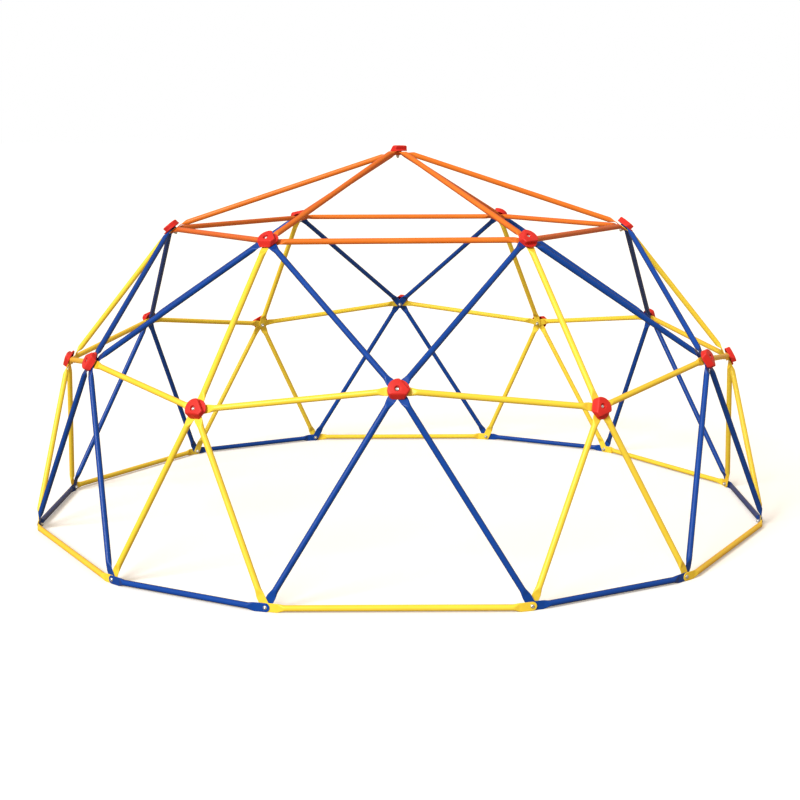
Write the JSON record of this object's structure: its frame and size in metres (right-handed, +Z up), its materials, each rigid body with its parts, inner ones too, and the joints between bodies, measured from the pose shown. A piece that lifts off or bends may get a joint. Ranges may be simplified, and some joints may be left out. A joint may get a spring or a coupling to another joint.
{
  "type": "dome climber",
  "caption": "Geodesic climbing dome of bolted steel tubes with flattened ends, moulded grip caps on its hubs, standing on a ring of ground tubes.",
  "frame": {"origin": "on the ground plane at the centre of the dome", "axes": "+Z up through the apex hub; -Y is the front, towards the leading blue hub of sector 1; +X is right seen from the front"},
  "size_m": [3.0142, 2.9661, 1.5494],
  "materials": {
    "orange_paint": "gloss orange powder coat",
    "yellow_paint": "gloss yellow powder coat",
    "blue_paint": "gloss royal blue powder coat",
    "cap_plastic": "satin red moulded plastic with a fine grain",
    "zinc_steel": "bright zinc plate"
  },
  "bodies": {
    "root": {"apex_spoke_1": "orange_paint", "apex_spoke_2": "orange_paint", "apex_spoke_3": "orange_paint", "apex_spoke_4": "orange_paint", "apex_spoke_5": "orange_paint", "apex_spoke_6": "orange_paint", "crown_ring_tube_1": "orange_paint", "crown_ring_tube_2": "orange_paint", "crown_ring_tube_3": "orange_paint", "crown_ring_tube_4": "orange_paint", "crown_ring_tube_5": "orange_paint", "crown_ring_tube_6": "orange_paint", "upper_yellow_tube_1": "yellow_paint", "upper_yellow_tube_2": "yellow_paint", "upper_yellow_tube_3": "yellow_paint", "upper_yellow_tube_4": "yellow_paint", "upper_yellow_tube_5": "yellow_paint", "upper_yellow_tube_6": "yellow_paint", "upper_blue_pair_1": "blue_paint", "upper_blue_pair_2": "blue_paint", "upper_blue_pair_3": "blue_paint", "upper_blue_pair_4": "blue_paint", "upper_blue_pair_5": "blue_paint", "upper_blue_pair_6": "blue_paint", "middle_ring_pair_1": "yellow_paint", "middle_ring_pair_2": "yellow_paint", "middle_ring_pair_3": "yellow_paint", "middle_ring_pair_4": "yellow_paint", "middle_ring_pair_5": "yellow_paint", "middle_ring_pair_6": "yellow_paint", "lower_yellow_pair_1": "yellow_paint", "lower_yellow_pair_2": "yellow_paint", "lower_yellow_pair_3": "yellow_paint", "lower_yellow_pair_4": "yellow_paint", "lower_yellow_pair_5": "yellow_paint", "lower_yellow_pair_6": "yellow_paint", "lower_blue_pair_1": "blue_paint", "lower_blue_pair_2": "blue_paint", "lower_blue_pair_3": "blue_paint", "lower_blue_pair_4": "blue_paint", "lower_blue_pair_5": "blue_paint", "lower_blue_pair_6": "blue_paint", "ground_yellow_tube_1": "yellow_paint", "ground_yellow_tube_2": "yellow_paint", "ground_yellow_tube_3": "yellow_paint", "ground_yellow_tube_4": "yellow_paint", "ground_yellow_tube_5": "yellow_paint", "ground_yellow_tube_6": "yellow_paint", "ground_blue_tube_1": "blue_paint", "ground_blue_tube_2": "blue_paint", "ground_blue_tube_3": "blue_paint", "ground_blue_tube_4": "blue_paint", "ground_blue_tube_5": "blue_paint", "ground_blue_tube_6": "blue_paint", "crown_caps": "cap_plastic", "middle_caps": "cap_plastic", "hub_bolts": "zinc_steel", "ground_bolts": "zinc_steel", "washers": "zinc_steel", "cap_nuts": "zinc_steel"}
  },
  "joints": []
}
